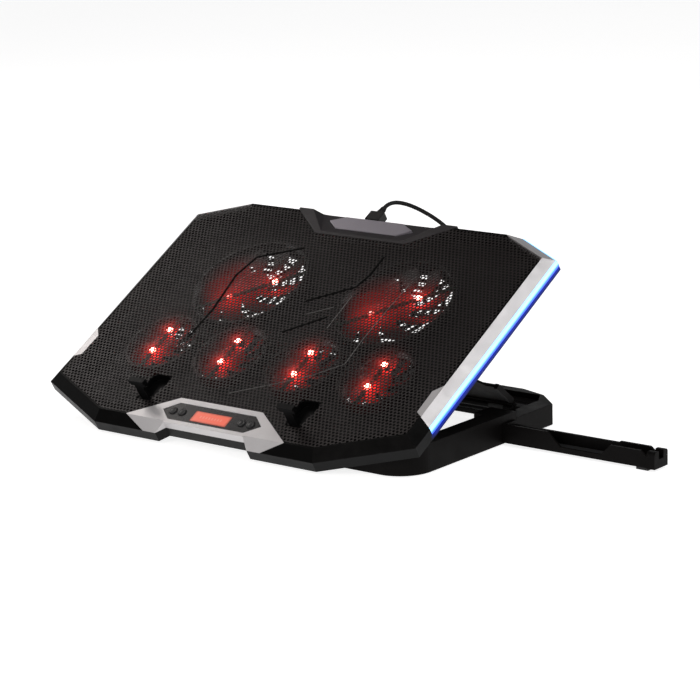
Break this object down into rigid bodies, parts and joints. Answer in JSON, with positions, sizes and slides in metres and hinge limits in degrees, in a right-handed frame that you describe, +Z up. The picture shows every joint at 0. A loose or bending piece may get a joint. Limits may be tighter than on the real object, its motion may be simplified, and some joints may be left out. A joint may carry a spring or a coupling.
{
  "type": "laptop cooling pad",
  "caption": "Tilting mesh-topped cooling pad with red-lit fans, lit side bars, flip-up stops, rear prop on a rack base and a slide-out phone tray.",
  "frame": {"origin": "on the floor, on the underside of the front rubber foot, straight below the middle of the front hinge axis", "axes": "+X to the user's right, +Y to the rear, +Z up"},
  "size_m": [0.569, 0.3362, 0.1757],
  "materials": {
    "base_plastic": "matte",
    "shell_plastic": "satin",
    "grille_metal": "satin",
    "silver_paint": "satin",
    "light_guide": "gloss",
    "panel_gloss": "gloss",
    "lcd": "gloss",
    "cover_plastic": "satin",
    "badge": "satin",
    "circuit_board": "satin",
    "fan_plastic": "satin",
    "rotor_plastic": "satin",
    "led_red": "gloss",
    "button_plastic": "satin",
    "rubber": "matte",
    "steel": "brushed",
    "cable_rubber": "matte"
  },
  "bodies": {
    "base": {"base_front_bar": "base_plastic", "base_rail_left": "base_plastic", "base_rail_right": "base_plastic", "rack_deck": "base_plastic", "rack_ladder": "base_plastic", "base_feet": "rubber", "base_screws": "steel", "front_hinge_pins": "steel", "cable_coil": "cable_rubber", "cable_tie": "rubber", "laptop_plug": "cable_rubber", "usb_cable": "cable_rubber"},
    "pad": {"top_frame": "shell_plastic", "mesh_grille": "grille_metal", "bottom_shell": "shell_plastic", "side_trim_left": "silver_paint", "side_trim_right": "silver_paint", "light_bar_left": "light_guide", "light_bar_right": "light_guide", "front_bezel": "silver_paint", "control_panel": "panel_gloss", "lcd_screen": "lcd", "rear_cover": "cover_plastic", "badge_plate": "badge", "stopper_pockets": "shell_plastic", "control_board": "circuit_board", "fan_frames_large": "fan_plastic", "fan_frames_small": "fan_plastic", "fan_led_strips": "circuit_board", "fan_leds": "led_red", "fan_axles": "steel", "prop_hinge_pins": "steel", "usb_socket": "steel", "usb_plug": "cable_rubber", "cable_relief": "cable_rubber", "shell_screws": "steel"},
    "prop": {"prop_panel": "base_plastic", "prop_foot_pads": "rubber"},
    "tray": {"tray_arm": "base_plastic", "tray_end_tab": "base_plastic", "tray_foot": "rubber", "tray_grip_pad": "rubber"},
    "stopper_left": {"stopper_left": "shell_plastic"},
    "stopper_right": {"stopper_right": "shell_plastic"},
    "button_1": {"button_1": "button_plastic"},
    "button_2": {"button_2": "button_plastic"},
    "button_3": {"button_3": "button_plastic"},
    "button_4": {"button_4": "button_plastic"},
    "rotor_large_left": {"rotor_large_left": "rotor_plastic"},
    "rotor_large_right": {"rotor_large_right": "rotor_plastic"},
    "rotor_small_1": {"rotor_small_1": "rotor_plastic"},
    "rotor_small_2": {"rotor_small_2": "rotor_plastic"},
    "rotor_small_3": {"rotor_small_3": "rotor_plastic"},
    "rotor_small_4": {"rotor_small_4": "rotor_plastic"}
  },
  "joints": [
    {"name": "pad_tilt", "type": "hinge", "parent": "base", "child": "pad", "pos_m": [0, 0, 0.02], "axis": [1, 0, 0], "range_deg": [-30, 0], "deforming": ["usb_cable"]},
    {"name": "prop_fold", "type": "hinge", "parent": "pad", "child": "prop", "pos_m": [0, 0.09448, 0.07455], "axis": [1, 0, 0], "range_deg": [-0.5, 69]},
    {"name": "tray_slide", "type": "slide", "parent": "base", "child": "tray", "axis": [1, 0, 0], "range_m": [-0.135, 0]},
    {"name": "stopper_left_fold", "type": "hinge", "parent": "pad", "child": "stopper_left", "pos_m": [-0.0855, -0.02198, 0.03087], "axis": [1, 0, 0], "range_deg": [-90, 0]},
    {"name": "stopper_right_fold", "type": "hinge", "parent": "pad", "child": "stopper_right", "pos_m": [0.0855, -0.02198, 0.03087], "axis": [1, 0, 0], "range_deg": [-90, 0]},
    {"name": "button_1_press", "type": "slide", "parent": "pad", "child": "button_1", "axis": [0, -0.5, 0.866], "range_m": [-0.0006, 0], "stiffness_N_per_m": 800},
    {"name": "button_2_press", "type": "slide", "parent": "pad", "child": "button_2", "axis": [0, -0.5, 0.866], "range_m": [-0.0006, 0], "stiffness_N_per_m": 800},
    {"name": "button_3_press", "type": "slide", "parent": "pad", "child": "button_3", "axis": [0, -0.5, 0.866], "range_m": [-0.0006, 0], "stiffness_N_per_m": 800},
    {"name": "button_4_press", "type": "slide", "parent": "pad", "child": "button_4", "axis": [0, -0.5, 0.866], "range_m": [-0.0006, 0], "stiffness_N_per_m": 800},
    {"name": "rotor_large_left_spin", "type": "hinge", "parent": "pad", "child": "rotor_large_left", "pos_m": [-0.084, 0.12412, 0.10782], "axis": [0, -0.5, 0.866], "continuous": true},
    {"name": "rotor_large_right_spin", "type": "hinge", "parent": "pad", "child": "rotor_large_right", "pos_m": [0.084, 0.12412, 0.10782], "axis": [0, -0.5, 0.866], "continuous": true},
    {"name": "rotor_small_1_spin", "type": "hinge", "parent": "pad", "child": "rotor_small_1", "pos_m": [-0.124, 0.0447, 0.06197], "axis": [0, -0.5, 0.866], "continuous": true},
    {"name": "rotor_small_2_spin", "type": "hinge", "parent": "pad", "child": "rotor_small_2", "pos_m": [-0.042, 0.0447, 0.06197], "axis": [0, -0.5, 0.866], "continuous": true},
    {"name": "rotor_small_3_spin", "type": "hinge", "parent": "pad", "child": "rotor_small_3", "pos_m": [0.042, 0.0447, 0.06197], "axis": [0, -0.5, 0.866], "continuous": true},
    {"name": "rotor_small_4_spin", "type": "hinge", "parent": "pad", "child": "rotor_small_4", "pos_m": [0.124, 0.0447, 0.06197], "axis": [0, -0.5, 0.866], "continuous": true}
  ],
  "couplings": [
    {"joint": "prop_fold", "follows": "pad_tilt", "ratio": -2.2833}
  ]
}
